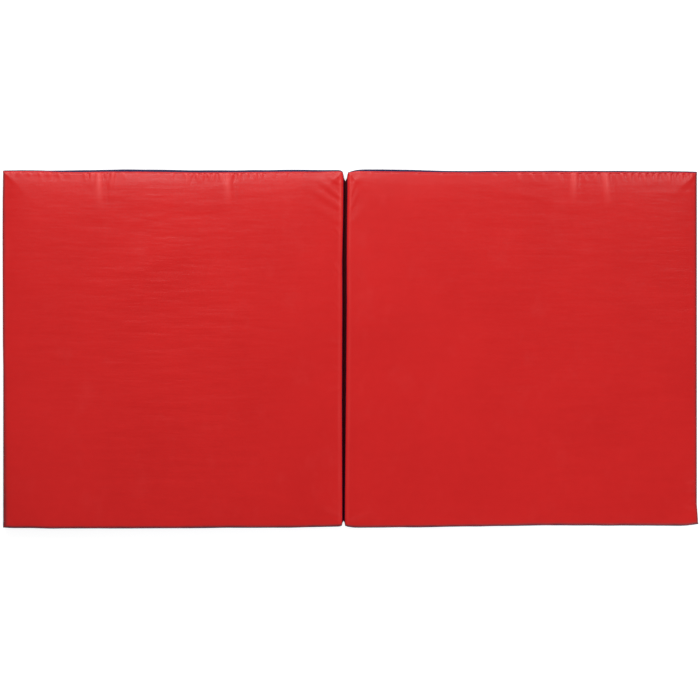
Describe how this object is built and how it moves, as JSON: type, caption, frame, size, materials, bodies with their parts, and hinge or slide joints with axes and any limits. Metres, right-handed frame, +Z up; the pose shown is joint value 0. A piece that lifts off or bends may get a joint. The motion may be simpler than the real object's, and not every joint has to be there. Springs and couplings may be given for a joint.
{
  "type": "folding gym mat",
  "caption": "Folding foam gym mat: rectangular panels in zipped vinyl covers, joined along a groove by a sewn-in hinge strip underneath.",
  "frame": {"origin": "middle of the underside, which lies on the floor", "axes": "+X along the mat from the shorter to the longer panel, +Y across it along the hinge, +Z up out of the playing surface"},
  "size_m": [1.9602, 1, 0.05],
  "materials": {
    "red_vinyl": "satin",
    "navy_vinyl": "satin",
    "underside_vinyl": "matte",
    "soft_foam": "matte",
    "firm_foam": "matte",
    "zip_tape": "matte",
    "zip_coil": "satin",
    "zip_metal": "satin"
  },
  "bodies": {
    "left_panel": {"left_foam_base": "soft_foam", "left_foam_top": "firm_foam", "left_base_sheet": "underside_vinyl", "left_top_sheet": "red_vinyl", "left_boxing_strip": "navy_vinyl", "left_zip_panel": "navy_vinyl", "left_zip_tape_upper": "zip_tape", "left_zip_tape_lower": "zip_tape", "left_zip_coil_upper": "zip_coil", "left_zip_coil_lower": "zip_coil", "left_zip_top_stops": "zip_metal", "left_zip_bottom_stop": "zip_metal", "hinge_strip": "red_vinyl"},
    "left_zip_slider": {"left_zip_slider": "zip_metal"},
    "left_zip_pull": {"left_zip_pull": "zip_metal"},
    "right_panel": {"right_foam_base": "soft_foam", "right_foam_top": "firm_foam", "right_base_sheet": "underside_vinyl", "right_top_sheet": "red_vinyl", "right_boxing_strip": "navy_vinyl", "right_zip_panel": "navy_vinyl", "right_zip_tape_upper": "zip_tape", "right_zip_tape_lower": "zip_tape", "right_zip_coil_upper": "zip_coil", "right_zip_coil_lower": "zip_coil", "right_zip_top_stops": "zip_metal", "right_zip_bottom_stop": "zip_metal"},
    "right_zip_slider": {"right_zip_slider": "zip_metal"},
    "right_zip_pull": {"right_zip_pull": "zip_metal"}
  },
  "joints": [
    {"name": "fold", "type": "hinge", "parent": "left_panel", "child": "right_panel", "pos_m": [-0.0135, 0, -0.00015], "axis": [0, 1, 0], "range_deg": [-10, 180], "deforming": ["hinge_strip"]},
    {"name": "left_zip", "type": "slide", "parent": "left_panel", "child": "left_zip_slider", "axis": [0, 1, 0], "range_m": [0, 0.8856]},
    {"name": "left_pull_swing", "type": "hinge", "parent": "left_zip_slider", "child": "left_zip_pull", "pos_m": [-0.97855, -0.4428, 0.0214], "axis": [0, 0, -1], "range_deg": [0, 175]},
    {"name": "right_zip", "type": "slide", "parent": "right_panel", "child": "right_zip_slider", "axis": [0, -1, 0], "range_m": [0, 0.8856]},
    {"name": "right_pull_swing", "type": "hinge", "parent": "right_zip_slider", "child": "right_zip_pull", "pos_m": [0.97855, 0.4428, 0.0214], "axis": [0, 0, -1], "range_deg": [0, 175]}
  ]
}
